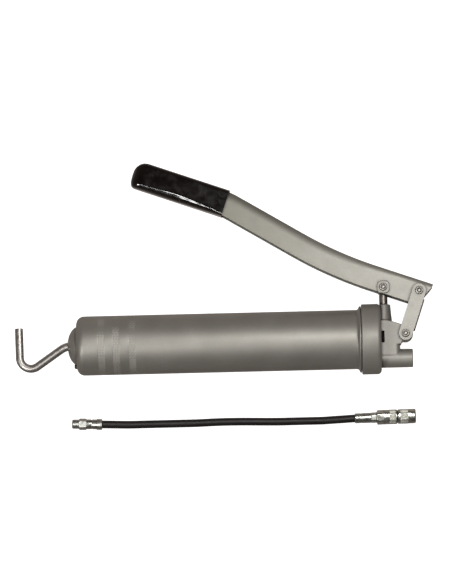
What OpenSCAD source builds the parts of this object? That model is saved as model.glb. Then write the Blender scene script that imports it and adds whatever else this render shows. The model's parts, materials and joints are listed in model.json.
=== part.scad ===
// Lever-action grease gun for 400 g cartridges, lying on its side with its
// short delivery hose beside it.
//
// Each module builds its piece in the gun's own axes: x along the barrel axis
// towards the outlet, y towards the lever, z up from the gun's side, with the
// origin where the barrel axis meets the head's front face. placed() then
// lays the gun down as it rests: on the head's rim, on the closed end of the
// barrel and on the grip. The hose lies flat on the same surface.

/* [Barrel] */
// Outside diameter of the barrel
barrel_d = 57; // [56:0.1:57.6]
// Distance from the head's front face to the flat end of the barrel
barrel_reach = 292.4; // [285:0.1:300]
// Wall of the pressed steel barrel
barrel_wall = 1.2; // [0.8:0.1:1.5]
// Radius of the shoulder at the closed end
shoulder_r = 7.4; // [5:0.1:8]
// Spherical radius of the domed rod guide in the closed end
dome_r = 21.6; // [21:0.1:22.5]
// Height of the dome above the flat end
dome_h = 8.9; // [8.5:0.1:9.4]
// Distances of the three grip bands from the head's front face
band_at = [268, 253.7, 238.3];
// Width of each grip band
band_w = 7; // [4:0.5:8]

/* [Head] */
// Diameter of the head's rim
rim_d = 67.6; // [66:0.1:70]
// Width of the head's rim
rim_w = 18.6; // [17:0.1:20]
// Thickness of the head's bracket, between the flanges of the link
bracket_w = 18; // [17.6:0.1:18.2]
// Outside diameter of the outlet
outlet_d = 17.8; // [16:0.1:18]
// Distance from the head's front face to the outlet's mouth
outlet_reach = 30.3; // [28:0.1:34]
// Distance of the outlet's axis below the barrel axis
outlet_drop = 19; // [18.8:0.1:19.4]
// Core diameter of the outlet's 1/8 inch pipe thread
outlet_thread_d = 8.566; // [8.5:0.001:8.8]

/* [Pump linkage] */
// Diameter of the plunger
plunger_d = 8; // [7.5:0.1:8]
// Distance of the plunger's axis in front of the head's front face
plunger_x = 3.2; // [3:0.1:3.4]
// Pivot of the plunger in the lever
pin_p = [3.2, 49.2];
// Upper pivot of the link in the lever
pin_f = [37.6, 45];
// Lower pivot of the link in the bracket
pin_b = [23.6, 4];
// Diameter of the three pivot pins
pin_d = 5; // [4.5:0.1:5.5]
// Diameter of the riveted pin heads
pin_head_d = 7.4; // [6.8:0.1:8]
// Width of the link's flanges
link_w = 12.9; // [12.5:0.1:13.2]
// Thickness of the link's steel
link_t = 2; // [1.6:0.1:2.2]

/* [Lever] */
// Outside width of the lever channel
lever_w = 18; // [17.6:0.1:18.2]
// Depth of the lever channel
lever_depth = 24; // [23:0.1:25]
// Thickness of the lever's steel
lever_t = 2; // [1.6:0.1:2.2]
// Front tip of the lever's back
lever_tip = [51.3, 51];
// Slope of the lever's front part
lever_front_slope = 19.7; // [19:0.1:20.5]
// Extra slope of the lever's middle part
lever_bend = 11.4; // [10:0.1:12]
// Radius of the long bend
lever_bend_r = 387; // [370:1:400]
// Length of the straight front part
lever_front = 56.8; // [54:0.1:60]
// Length of the straight middle part
lever_middle = 73.6; // [65:0.1:80]
// Length of the straight rear part, which carries the grip
lever_rear = 87; // [80:0.5:95]
// Length of the grip sleeve
grip_len = 94.2; // [90:0.1:100]
// Thickness of the grip sleeve on the lever's sides
grip_t = 1.6; // [1.2:0.1:2]

/* [Follower] */
// Diameter of the follower rod
rod_d = 8; // [7:0.1:8.2]
// Slope of the rod's crank
hook_slope = 34.5; // [33:0.1:36]
// Length of the straight part of the crank
hook_crank = 27.6; // [26:0.1:30]
// Radius of the hook's bend
hook_bend_r = 10.8; // [10:0.1:12]
// Length of the hook's upright
hook_upright = 28.4; // [24:0.1:34]
// Turns of the follower spring
spring_turns = 20; // [16:1:24]
// Wire diameter of the follower spring
spring_wire = 2.6; // [2:0.1:2.8]

/* [Hose] */
// Outside diameter of the delivery hose
hose_d = 7.6; // [7:0.1:8]
// Across flats of the hose's threaded end
hose_hex_af = 9.6; // [9.2:0.1:9.8]
// Diameter of the coupler
coupler_d = 14.1; // [13.8:0.1:14.6]
// Across flats of the coupler's spanner flats
coupler_af = 12.9; // [12.7:0.1:13.2]

/* [Hidden] */
$fn = 72;
eps = 0.01;

barrel_r = barrel_d / 2;
barrel_bore_r = barrel_r - barrel_wall;
rim_r = rim_d / 2;
flat_x = -barrel_reach;
shoulder_x = flat_x + shoulder_r;
dome_x = flat_x - dome_h + dome_r;      // centre of the dome's sphere
gasket_t = 1.45;
head_wall = 5;
thread_r = barrel_r + 0.45;             // crest of the barrel's thread
head_bore_r = thread_r + 0.05;
barrel_front = -head_wall - gasket_t - 0.1;
rod_r = rod_d / 2;
rod_hole_r = rod_r + 0.6;
rod_bend_x = -297.6;                    // where the crank starts
plunger_r = plunger_d / 2;
plunger_bore_r = plunger_r + 0.03;
half = bracket_w / 2;
link_in = lever_w / 2 + 0.3;            // inner faces of the link's flanges
link_out = link_in + link_t;
link_len = norm(pin_f - pin_b);
link_turn = atan2(pin_f[1] - pin_b[1], pin_f[0] - pin_b[0]);
washer_t = 1.2;
pin_r = pin_d / 2;

// The gun rolls towards the lever until the grip touches the surface, and
// tips back until the rim and the closed end of the barrel both touch it.
rest_pitch = atan((rim_r - barrel_r) / (-shoulder_x - rim_w + 3));
rest_roll = 6.25;
rest_z = rim_r * cos(rest_pitch) + (rim_w - 3) * sin(rest_pitch);
// Middle of the gun's length and width, measured in the lying gun
mid_x = -150.1;
mid_y = 71.2;

// The hose's own line on the surface: points in the gun's x and y, with the
// height above the surface
rear_end = [-270.5, -76.5];
rear_yaw = -2;
rear_z = 5.4;
front_end = [-26, -76.5];
front_yaw = 1;
front_z = coupler_d / 2;
hose_points = [[-270.5, -76.5, rear_z], [-258, -77, 5],
    [-244, -77.5, 4.3], [-230, -77.5, 3.9], [-215, -77.5, 3.9],
    [-200, -77.5, 3.9], [-180, -77.5, 3.9], [-160, -77, 3.9],
    [-140, -77, 3.9], [-120, -77.5, 3.9], [-100, -78, 3.9],
    [-85, -78, 3.9], [-70, -78, 4], [-58, -78, 4.6],
    [-47, -77.5, 5.6], [-36, -77, 6.6], [-26, -76.5, front_z]];

paint = [0.50, 0.48, 0.44];
paint_light = [0.60, 0.57, 0.51];
zinc = [0.72, 0.71, 0.68];
steel = [0.66, 0.64, 0.60];
black = [0.05, 0.05, 0.05];

// ---- helpers ----

// Lays a piece of the gun down as the gun rests
module placed()
    translate([-mid_x, -mid_y, rest_z])
        rotate([-rest_roll, -rest_pitch, 0]) children();

// A solid of revolution about x; points are [radius, x]
module turned(points, fn = 96)
    rotate([0, 90, 0]) rotate_extrude($fn = fn) polygon(points);

module rod_x(r, x0, x1, fn = 48)
    translate([x0, 0, 0]) rotate([0, 90, 0])
        cylinder(r = r, h = x1 - x0, $fn = fn);

module rod_y(r, y0, y1, fn = 48)
    translate([0, y0, 0]) rotate([-90, 0, 0])
        cylinder(r = r, h = y1 - y0, $fn = fn);

function arc(c, r, a0, a1, n = 8) =
    [for (i = [0 : n]) let (a = a0 + (a1 - a0) * i / n)
        [c[0] + r * cos(a), c[1] + r * sin(a)]];

// A tube swept along points, with sides set square to the path
function unit(v) = v / norm(v);
function tangent(p, i) = unit(p[min(i + 1, len(p) - 1)] - p[max(i - 1, 0)]);
function ring_at(p, i, r, n, t0, t1) =
    let (t = i == 0 ? t0 : i == len(p) - 1 ? t1 : tangent(p, i),
         s = unit(cross([0, 0, 1], t)), u = cross(t, s))
    [for (k = [0 : n - 1]) p[i] + r * (cos(360 * k / n) * s
                                       + sin(360 * k / n) * u)];
module swept(p, r, n, t0, t1) {
    m = len(p);
    pts = [for (i = [0 : m - 1]) for (q = ring_at(p, i, r, n, t0, t1)) q];
    side = [for (i = [0 : m - 2]) for (k = [0 : n - 1]) for (h = [0, 1])
        let (a = i * n + k, b = i * n + (k + 1) % n)
        h == 0 ? [a, a + n, b + n] : [a, b + n, b]];
    polyhedron(points = pts,
               faces = concat(side, [[for (k = [0 : n - 1]) k]],
                   [[for (k = [n - 1 : -1 : 0]) (m - 1) * n + k]]),
               convexity = 6);
}

// A coil spring about x, from x0 to x1
module coil(x0, x1, r, wire, turns, n = 6, per = 10) {
    m = turns * per;
    p = [for (i = [0 : m]) let (a = 360 * i / per)
        [x0 + (x1 - x0) * i / m, r * cos(a), r * sin(a)]];
    pts = [for (i = [0 : m]) let (a = 360 * i / per, c = [0, cos(a), sin(a)],
        t = unit([(x1 - x0) / m / (2 * PI * r / per), -sin(a), cos(a)]),
        b = cross(t, c))
        for (k = [0 : n - 1])
            p[i] + wire / 2 * (cos(360 * k / n) * c + sin(360 * k / n) * b)];
    polyhedron(points = pts,
               faces = concat([for (i = [0 : m - 1]) for (k = [0 : n - 1])
                       for (h = [0, 1])
                   let (a = i * n + k, b = i * n + (k + 1) % n)
                   h == 0 ? [a, b, b + n] : [a, b + n, a + n]],
                   [[for (k = [n - 1 : -1 : 0]) k]],
                   [[for (k = [0 : n - 1]) m * n + k]]), convexity = 12);
}

// ---- head and pump ----

module rim_profile() turned(concat(
    [[0, 0]],
    arc([rim_r - 3.3, -3.3], 3.3, 90, 0),
    arc([rim_r - 1.6, -rim_w + 1.6], 1.6, 0, -90, 5),
    [[0, -rim_w]]), 128);

// Bracket seen from the side
module bracket_outline() {
    polygon([[-1, 17.6], [4.6, 17.6], [11, 16.3],
             pin_b + 6.4 * [0.396, 0.918], pin_b,
             pin_b + 7 * [-0.342, -0.94], [19.3, -4.6], [-1, -4.6]]);
    translate(pin_b) circle(7.2);
}

// Plan of the block that joins the bracket to the outlet
module block_plan() {
    translate([-1, -half]) square([14.6, bracket_w]);
    translate([-1, -half + 4.5]) square([19.1, bracket_w - 9]);
    for (s = [-1, 1]) translate([13.6, s * (half - 4.5)]) circle(4.5);
}

module head_casting() color(paint) placed() difference() {
    union() {
        rim_profile();
        // boss around the plunger
        translate([plunger_x, 0, 0]) rotate([-90, 0, 0]) {
            cylinder(r = 7.8, h = 18);
            translate([0, 0, 18]) cylinder(r1 = 7.8, r2 = 6.5, h = 14.2);
            translate([0, 0, 32.2]) cylinder(r1 = 6.5, r2 = 5.7, h = 0.8);
        }
        translate([0, 0, -half]) linear_extrude(bracket_w) bracket_outline();
        translate([0, -13.7, 0]) rotate([-90, 0, 0]) linear_extrude(9.2)
            block_plan();
        // outlet
        translate([0, -outlet_drop, 0]) {
            rod_x(outlet_d / 2, -2, outlet_reach - 0.8, 72);
            translate([outlet_reach - 0.8, 0, 0]) rotate([0, 90, 0])
                cylinder(r1 = outlet_d / 2, r2 = outlet_d / 2 - 0.7, h = 0.8,
                         $fn = 72);
        }
    }
    // threaded socket for the barrel
    translate([-rim_w - 1, 0, 0]) rotate([0, 90, 0])
        cylinder(r = head_bore_r, h = rim_w + 1 - head_wall, $fn = 128);
    turned([[0, -rim_w - 1], [head_bore_r + 1.4, -rim_w - 1],
            [head_bore_r - 0.4, -rim_w + 0.8], [0, -rim_w + 0.8]]);
    // plunger bore, seal groove and the passage to the outlet
    translate([plunger_x, 0, 0]) {
        rod_y(plunger_bore_r, -15.2, 40);
        rod_y(5.2, 28.6, 30.8);
        rod_y(2, -outlet_drop, -15);
    }
    // inlet from the barrel to the plunger bore
    translate([0, 3, 0]) rod_x(2.5, -head_wall - 1, plunger_x);
    // outlet passage, valve chamber and thread
    translate([0, -outlet_drop, 0]) {
        rod_x(1.8, plunger_x, 9);
        rod_x(3.2, 8, 17.2);
        rod_x(3.9, 17, 19.7);
        rod_x(outlet_thread_d / 2, 19.6, outlet_reach + 1);
        translate([outlet_reach - 0.9, 0, 0]) rotate([0, 90, 0])
            cylinder(r1 = outlet_thread_d / 2, r2 = outlet_thread_d / 2 + 1,
                     h = 1);
    }
    // bore for the link's lower pin, with room for the pin's own path
    translate([pin_b[0], pin_b[1], -half - 1])
        linear_extrude(bracket_w + 2) pin_slot();
    // relief between the rim and the bracket, on both faces
    for (s = [-1, 1]) translate([0.3, -4.4, s > 0 ? 5.6 : -9.6])
        cube([3.3, 11.8, 4]);
}

// The lower pin drifts a little as the lever swings, so its bore is a slot
module pin_slot() {
    circle(pin_r + 1.75);
}

module plunger_seal() color(black) placed() translate([plunger_x, 0, 0])
    difference() {
        rod_y(5.15, 28.7, 30.7);
        rod_y(plunger_bore_r + 0.02, 28, 31);
    }

module outlet_valve_ball() color(steel) placed()
    translate([10.1, -outlet_drop, 0]) sphere(r = 2.75, $fn = 48);

module outlet_valve_spring() color(steel) placed()
    translate([0, -outlet_drop, 0]) coil(12.9, 16.6, 2.2, 0.6, 4);

module outlet_valve_retainer() color(zinc) placed()
    translate([0, -outlet_drop, 0]) difference() {
        rod_x(3.88, 17.1, 19.5);
        rod_x(1.6, 16, 21);
    }

// ---- barrel ----

module barrel_gasket() color(black) placed()
    turned([[24.5, -head_wall - 0.05], [head_bore_r - 0.3, -head_wall - 0.05],
            [head_bore_r - 0.3, -head_wall - gasket_t],
            [24.5, -head_wall - gasket_t]]);

function dome_at(r, rad) = dome_x - sqrt(rad * rad - r * r);

module barrel() color(paint) placed() difference() {
    turned(concat(
        [[barrel_bore_r, barrel_front], [thread_r - 0.8, barrel_front],
         [thread_r, barrel_front - 0.8], [thread_r, -rim_w - 0.35],
         [31.6, -rim_w - 0.35], [31.9, -rim_w - 0.7], [31.5, -rim_w - 1.4],
         [30.3, -rim_w - 2.4], [29.5, -rim_w - 4], [barrel_r, -rim_w - 4.9]],
        [for (b = [2 : -1 : 0]) for (q = [[0, band_w / 2 + 0.2],
            [0.12, band_w / 2], [0.12, -band_w / 2],
            [0, -band_w / 2 - 0.2]]) [barrel_r - q[0], -band_at[b] + q[1]]],
        arc([barrel_r - shoulder_r, shoulder_x], shoulder_r, 0, -90),
        [[19.2, flat_x], [18.2, flat_x - 0.2], [17.4, flat_x - 0.55]],
        [for (r = [16.6, 14.5, 12, 9.5, 7, rod_hole_r])
            [r, dome_at(r, dome_r)]],
        [for (r = [rod_hole_r, 7, 9.5, 12, 14, 15.9])
            [r, dome_at(r, dome_r - barrel_wall)]],
        [[17.5, flat_x + barrel_wall]],
        arc([barrel_r - shoulder_r, shoulder_x], shoulder_r - barrel_wall,
            -90, 0)), 144);
    // keyhole slot that latches the rod
    translate([-310, -8, -3.2]) cube([15, 8, 6.4]);
    // hole for the vent plug
    translate([0, -19.6, 0]) rod_x(1.8, flat_x - 2, flat_x + 3, 32);
}

module vent_plug() color(black) placed() translate([0, -19.6, 0]) {
    rod_x(1.8, flat_x - 0.5, flat_x + barrel_wall + 0.6, 32);
    rod_x(2.5, flat_x - 1.6, flat_x, 32);
    rod_x(2.2, flat_x + barrel_wall, flat_x + barrel_wall + 0.9, 32);
}

// ---- follower ----

module follower_spring() color(steel) placed()
    coil(-31, flat_x + barrel_wall + spring_wire / 2 + 0.3, 20, spring_wire,
         spring_turns);

module follower_cup() color(black) placed()
    turned([[3.1, -27], [barrel_bore_r - 1.4, -27],
            [barrel_bore_r - 0.35, -25.5], [barrel_bore_r - 0.35, -12.4],
            [barrel_bore_r - 1.2, -12], [barrel_bore_r - 3, -15],
            [barrel_bore_r - 3.6, -23.4], [3.1, -23.4]]);

module follower_front_plate() color(zinc) placed()
    turned([[3.1, -23.35], [19, -23.35], [19, -21.6], [3.1, -21.6]]);

module follower_back_plate() color(zinc) placed()
    turned([[3.1, -27.05], [24.6, -27.05], [24.6, -30.6], [23.2, -30.6],
            [23.2, -28.8], [3.1, -28.8]]);

// The crank and hook follow two bends with straight lengths between them
function hook_path() =
    let (r1 = 18, r2 = hook_bend_r, turn = 89 + hook_slope,
         a = [rod_bend_x - r1 * sin(hook_slope),
              -r1 * (1 - cos(hook_slope))],
         d1 = [-cos(hook_slope), -sin(hook_slope)],
         b = a + hook_crank * d1,
         c = b + r2 * [-sin(hook_slope), cos(hook_slope)])
    concat([[rod_bend_x + 0.6, 0]],
        [for (i = [0 : 5]) let (t = hook_slope * i / 5)
            [rod_bend_x - r1 * sin(t), -r1 * (1 - cos(t))]],
        [a + 0.5 * hook_crank * d1],
        [for (i = [0 : 12]) let (t = hook_slope - turn * i / 12)
            c + r2 * [sin(t), -cos(t)]],
        [c + r2 * [sin(-89), -cos(-89)]
            + 0.5 * hook_upright * [-cos(-89), -sin(-89)],
         c + r2 * [sin(-89), -cos(-89)]
            + hook_upright * [-cos(-89), -sin(-89)]]);

module follower_rod() color(steel) placed() {
    turned([[0, rod_bend_x], [rod_r, rod_bend_x], [rod_r, -102],
            [3.2, -101.6], [3.2, -99], [rod_r, -98.6], [rod_r, -28.9],
            [3, -28.9], [3, -14], [2.6, -13.4], [0, -13.4]], 64);
    // crank and hook
    p = [for (q = hook_path()) [q[0], q[1], 0]];
    swept(p, rod_r - 0.04, 16, [-1, 0, 0],
          [-cos(-89), -sin(-89), 0]);
}

module follower_nut() color(zinc) placed() difference() {
    translate([-21.5, 0, 0]) rotate([0, 90, 0])
        cylinder(d = 13 / cos(30), h = 6.5, $fn = 6);
    rod_x(3, -22, -12);
}

// ---- plunger, lever and link ----

module plunger() color(steel) placed() difference() {
    union() {
        translate([plunger_x, 0, 0]) {
            rod_y(plunger_r, -6.4, pin_p[1]);
            translate([0, -7, 0]) rotate([-90, 0, 0])
                cylinder(r1 = plunger_r - 0.6, r2 = plunger_r, h = 0.6 + eps,
                         $fn = 48);
        }
        translate([pin_p[0], pin_p[1], -6]) cylinder(r = 6, h = 12);
    }
    translate([pin_p[0], pin_p[1], -10]) cylinder(r = pin_r + 0.05, h = 20);
}

// A straight length that starts at the origin along x, with the section's x
// as depth and y as width
module run(l) rotate([90, 0, 90]) linear_extrude(l) children();

small_r = 60;
// Frame at the start of the rear part, where the grip sits
module at_rear()
    translate([lever_tip[0], lever_tip[1], 0])
        rotate([0, 0, 180 - lever_front_slope])
            translate([lever_front, 0, 0])
                translate([lever_bend_r * sin(lever_bend),
                           -lever_bend_r * (1 - cos(lever_bend)), 0])
                    rotate([0, 0, -lever_bend])
                        translate([lever_middle, 0, 0])
                            translate([small_r * sin(lever_bend),
                                       small_r * (1 - cos(lever_bend)), 0])
                                rotate([0, 0, lever_bend]) children();

// Side view of the lever at a given depth under its back, from the tip to
// the rear end: straight, long bend, straight, short bend, straight
function dir(h) = [cos(h), sin(h)];
function inward(h) = [-sin(h), cos(h)];
function lever_line(p) =
    let (h1 = 180 - lever_front_slope, h2 = h1 - lever_bend,
         a = lever_tip + lever_front * dir(h1),
         c1 = a - lever_bend_r * inward(h1),
         b = c1 + lever_bend_r * inward(h2),
         c = b + lever_middle * dir(h2),
         c2 = c + small_r * inward(h2),
         d = c2 - small_r * inward(h1),
         e = d + lever_rear * dir(h1))
    concat([lever_tip + p * inward(h1)],
        [for (i = [0 : 10]) let (h = h1 - lever_bend * i / 10)
            c1 + (lever_bend_r + p) * inward(h)],
        [for (i = [0 : 4]) let (h = h2 + lever_bend * i / 4)
            c2 - (small_r - p) * inward(h)],
        [e + p * inward(h1)]);
function backwards(v) = [for (i = [len(v) - 1 : -1 : 0]) v[i]];

module lever() color(paint_light) placed() difference() {
    translate([0, 0, -lever_w / 2]) linear_extrude(lever_w)
        polygon(concat(lever_line(0), backwards(lever_line(lever_depth))));
    // inside of the channel, open towards the barrel and at both ends
    translate([0, 0, -lever_w / 2 + lever_t])
        linear_extrude(lever_w - 2 * lever_t) {
            l = lever_line(lever_t);
            m = lever_line(lever_depth + 16);
            n = len(l) - 1;
            over = 9 * dir(180 - lever_front_slope);
            polygon(concat([l[0] - over], [for (i = [1 : n - 1]) l[i]],
                [l[n] + over, m[n] + over],
                [for (i = [n - 1 : -1 : 1]) m[i]], [m[0] - over]));
        }
    // the front corner is cut away to clear the link
    translate([0, 0, -20]) linear_extrude(40)
        polygon([[51.2, 49], [42.6, 39.5], [34.2, 32.4], [32, 20], [70, 20],
                 [70, 49]]);
    translate([pin_f[0], pin_f[1], -20])
        cylinder(r = pin_r + 0.05, h = 40);
    translate([pin_p[0], pin_p[1], -20])
        cylinder(r = pin_r + 0.02, h = 40);
}

// Cross section of the grip sleeve round the channel
module sleeve_section() {
    w = lever_w / 2 + grip_t;
    r = 4.4;
    rb = 3.4;
    d = lever_depth + 1.1;
    translate([-grip_t, -w + r]) square([d + grip_t, 2 * (w - r)]);
    translate([-grip_t + r, -w]) square([d + grip_t - r - rb, 2 * w]);
    for (s = [-1, 1]) {
        translate([-grip_t + r, s * (w - r)]) circle(r, $fn = 40);
        translate([d - rb, s * (w - rb)]) intersection() {
            circle(rb, $fn = 48);
            translate([-0.01, s > 0 ? -0.01 : -rb]) square(rb + 0.01);
        }
    }
    translate([d - rb, -(w - rb)]) square([rb, 2 * (w - rb)]);
}

module grip() color(black) placed() at_rear() {
    s0 = -3.2;
    w = lever_w / 2 + grip_t;
    d = lever_depth + 1.1;
    difference() {
        intersection() {
            translate([s0, 0, 0]) run(grip_len) sleeve_section();
            // rounded end seen from the side
            translate([0, 0, -w - 1]) linear_extrude(2 * w + 2) union() {
                translate([s0 - 1, -grip_t - 1])
                    square([grip_len - 6.5 + 1, d + grip_t + 2]);
                translate([s0, -grip_t + 7])
                    square([grip_len, d + grip_t - 13]);
                translate([s0 + grip_len - 7.5, -grip_t + 7.5])
                    circle(7.5, $fn = 48);
                translate([s0 + grip_len - 6.5, d - 6.5])
                    circle(6.5, $fn = 48);
            }
        }
        // the lever fills this pocket
        translate([s0 - 1, 0, 0]) run(lever_rear - s0 + 1)
            translate([0, -lever_w / 2]) square([lever_depth, lever_w]);
    }
}

// A rivet through the flanges, with a ring rolled into each head
module rivet(reach) {
    head = 1.3;
    r = pin_head_d / 2;
    for (s = [0, 1]) mirror([0, 0, s]) rotate_extrude($fn = 48)
        polygon([[0, 0], [pin_r, 0], [pin_r, reach], [r, reach],
                 [r, reach + head - 0.35], [r - 0.4, reach + head],
                 [2.6, reach + head], [2.3, reach + head - 0.6],
                 [1.5, reach + head - 0.6], [1.2, reach + head - 0.1],
                 [0, reach + head]]);
}

module plunger_pin() color(steel) placed()
    translate([pin_p[0], pin_p[1], 0]) rivet(lever_w / 2 + washer_t);

module pin_washers() color(paint_light) placed()
    for (s = [0, 1]) mirror([0, 0, s])
        translate([pin_p[0], pin_p[1], lever_w / 2]) difference() {
            union() {
                cylinder(r = 5.9, h = washer_t - 0.4);
                translate([0, 0, washer_t - 0.4])
                    cylinder(r1 = 5.9, r2 = 5.4, h = 0.4);
            }
            translate([0, 0, -1]) cylinder(r = pin_r + 0.02, h = 4);
        }

module link() color(paint_light) placed()
    translate([pin_b[0], pin_b[1], 0]) rotate([0, 0, link_turn])
        difference() {
            union() {
                for (s = [0, 1]) mirror([0, 0, s])
                    translate([0, 0, link_in]) linear_extrude(link_t) {
                        circle(link_w / 2);
                        translate([link_len, 0]) circle(link_w / 2);
                        translate([0, -link_w / 2])
                            square([link_len, link_w]);
                    }
                // web on the outer side, folded from the flanges
                translate([6.6, 0, 0]) run(29.7) difference() {
                    link_section(link_out, link_w / 2 + 1.2, 2.6);
                    link_section(link_in, link_w / 2 + 1.2 - link_t, 0.6);
                }
            }
            for (u = [0, link_len]) translate([u, 0, -20])
                cylinder(r = pin_r + 0.02, h = 40);
        }

// Half-closed section: open at +x, closed at -x, rounded on the closed side
module link_section(w, reach, r) {
    translate([-reach + r, -w]) square([reach - r + 2, 2 * w]);
    translate([-reach, -w + r]) square([r + eps, 2 * (w - r)]);
    for (s = [-1, 1]) translate([-reach + r, s * (w - r)])
        circle(r, $fn = 32);
}

module link_upper_pin() color(steel) placed()
    translate([pin_f[0], pin_f[1], 0]) rivet(link_out);

module link_lower_pin() color(steel) placed()
    translate([pin_b[0], pin_b[1], 0]) rivet(link_out);

// ---- delivery hose ----

module on_surface() translate([-mid_x, -mid_y, 0]) children();
module at_hose_rear() on_surface()
    translate([rear_end[0], rear_end[1], rear_z]) rotate([0, 0, rear_yaw])
        children();
module at_hose_front() on_surface()
    translate([front_end[0], front_end[1], front_z])
        rotate([0, 0, front_yaw]) children();

module hex_x(af, x0, x1, turn = 0) translate([x0, 0, 0]) rotate([0, 90, 0])
    rotate([0, 0, turn]) cylinder(d = af / cos(30), h = x1 - x0, $fn = 6);

module hose() color(black) on_surface()
    swept(hose_points, hose_d / 2, 12,
          [cos(rear_yaw), sin(rear_yaw), 0],
          [cos(front_yaw), sin(front_yaw), 0]);

// Threaded end that screws into the outlet
module hose_nipple() color(zinc) at_hose_rear() difference() {
    union() {
        translate([-29.1, 0, 0]) rotate([0, 90, 0])
            cylinder(r1 = 3.9, r2 = 4.5, h = 0.8, $fn = 48);
        rod_x(4.5, -28.3, -22.4);
        intersection() {
            hex_x(hose_hex_af, -22.4, -15.1, 30);
            turned([[0, -22.4], [4.9, -22.4], [5.6, -21.9], [5.6, -15.6],
                    [4.9, -15.1], [0, -15.1]]);
        }
        rod_x(2.2, -15.2, -1);
    }
    rod_x(1.5, -30, 0);
}

module hose_rear_ferrule() color(zinc) at_hose_rear() difference() {
    turned([[0, -15.05], [4.5, -15.05], [4.8, -14.6], [4.8, -11],
            [4.45, -10.6], [4.45, -9.6], [4.8, -9.2], [4.8, -5.3],
            [5.35, -5], [5.35, -0.4], [5, 0], [0, 0]], 72);
    rod_x(2.25, -16, 1);
}

module hose_front_ferrule() color(zinc) at_hose_front() difference() {
    turned([[0, 0], [4.6, 0], [4.85, 0.4], [4.85, 5], [4.65, 5.4],
            [4.65, 6.4], [4.85, 6.8], [4.95, 15.2], [4.7, 15.65],
            [0, 15.65]], 72);
    rod_x(2.25, -1, 16.5);
}

module hose_front_nipple() color(zinc) at_hose_front() difference() {
    union() {
        rod_x(2.2, 1, 15.8);
        intersection() {
            hex_x(hose_hex_af - 0.2, 15.7, 21.2, 30);
            turned([[0, 15.7], [4.75, 15.7], [5.1, 16.2], [5.1, 21.2],
                    [0, 21.2]]);
        }
        rod_x(4.2, 21, 29);
    }
    rod_x(1.5, 0, 30);
}

// Round bar with spanner flats over part of its length
module flats(x0, x1) difference() {
    rod_x(coupler_d, x0, x1);
    hex_x(coupler_af, x0 - 1, x1 + 1, 30);
}

module coupler_body() color(zinc) at_hose_front() difference() {
    c = coupler_d / 2;
    turned([[0, 21.3], [c - 0.55, 21.3], [c, 21.9], [c, 40.3],
            [c - 0.35, 40.75], [6.2, 40.9], [6.2, 41.5], [5.5, 41.5],
            [5.5, 44.2], [0, 44.2]], 96);
    flats(21, 28.2);
    flats(33.4, 39.4);
    rod_x(4.25, 21, 31);
    rod_x(1.6, 30, 47);
    rod_x(3.6, 40, 47);
}

module coupler_sleeve() color(zinc) at_hose_front() difference() {
    c = coupler_d / 2;
    turned([[0, 41.6], [c - 0.35, 41.6], [c, 42], [c, 57.4],
            [c - 0.3, 58.4], [c - 0.8, 58.8], [0, 58.8]], 96);
    flats(44, 51.4);
    rod_x(5.55, 41, 55);
    turned([[0, 54.9], [5.55, 54.9], [4.55, 58], [4.9, 58.9], [0, 58.9]]);
}

// Four jaws with a conical nose, split by narrow slots
module coupler_jaws() color(steel) at_hose_front() difference() {
    turned([[3.3, 48.6], [5.3, 48.6], [5.3, 55.6], [4.5, 58.1],
            [3.3, 58.1]], 72);
    for (a = [0, 90]) rotate([a, 0, 0]) translate([48, -0.3, -8])
        cube([12, 0.6, 16]);
}

module coupler_seal() color(black) at_hose_front() difference() {
    turned([[1.2, 46.1], [5.1, 46.1], [5.1, 48.2], [1.2, 48.2]], 72);
}

module coupler_spring() color(steel) at_hose_front()
    coil(41, 45.4, 2.8, 0.7, 4);

head_casting();
plunger_seal();
outlet_valve_ball();
outlet_valve_spring();
outlet_valve_retainer();
barrel_gasket();
barrel();
vent_plug();
follower_spring();
follower_cup();
follower_front_plate();
follower_back_plate();
follower_rod();
follower_nut();
plunger();
lever();
grip();
plunger_pin();
pin_washers();
link();
link_upper_pin();
link_lower_pin();
hose();
hose_nipple();
hose_rear_ferrule();
hose_front_ferrule();
hose_front_nipple();
coupler_body();
coupler_sleeve();
coupler_jaws();
coupler_seal();
coupler_spring();
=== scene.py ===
import json
import math
from math import sin, cos, pi, radians, sqrt, hypot, atan2

import bpy
import bmesh
from mathutils import Matrix, Vector


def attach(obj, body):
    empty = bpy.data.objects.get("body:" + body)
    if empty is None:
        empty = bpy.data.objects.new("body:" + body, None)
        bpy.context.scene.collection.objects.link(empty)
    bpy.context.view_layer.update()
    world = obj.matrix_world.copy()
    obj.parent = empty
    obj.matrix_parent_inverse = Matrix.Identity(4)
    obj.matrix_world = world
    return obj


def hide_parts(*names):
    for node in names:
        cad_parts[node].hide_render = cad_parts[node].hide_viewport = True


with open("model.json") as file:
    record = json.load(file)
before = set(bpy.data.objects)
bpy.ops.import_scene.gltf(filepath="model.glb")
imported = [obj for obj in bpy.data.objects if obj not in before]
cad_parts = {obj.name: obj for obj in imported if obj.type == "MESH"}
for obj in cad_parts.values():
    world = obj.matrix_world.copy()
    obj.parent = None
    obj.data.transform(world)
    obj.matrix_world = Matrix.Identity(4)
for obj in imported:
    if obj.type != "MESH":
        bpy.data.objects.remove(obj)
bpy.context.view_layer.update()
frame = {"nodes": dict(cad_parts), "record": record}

scene = bpy.context.scene

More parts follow.
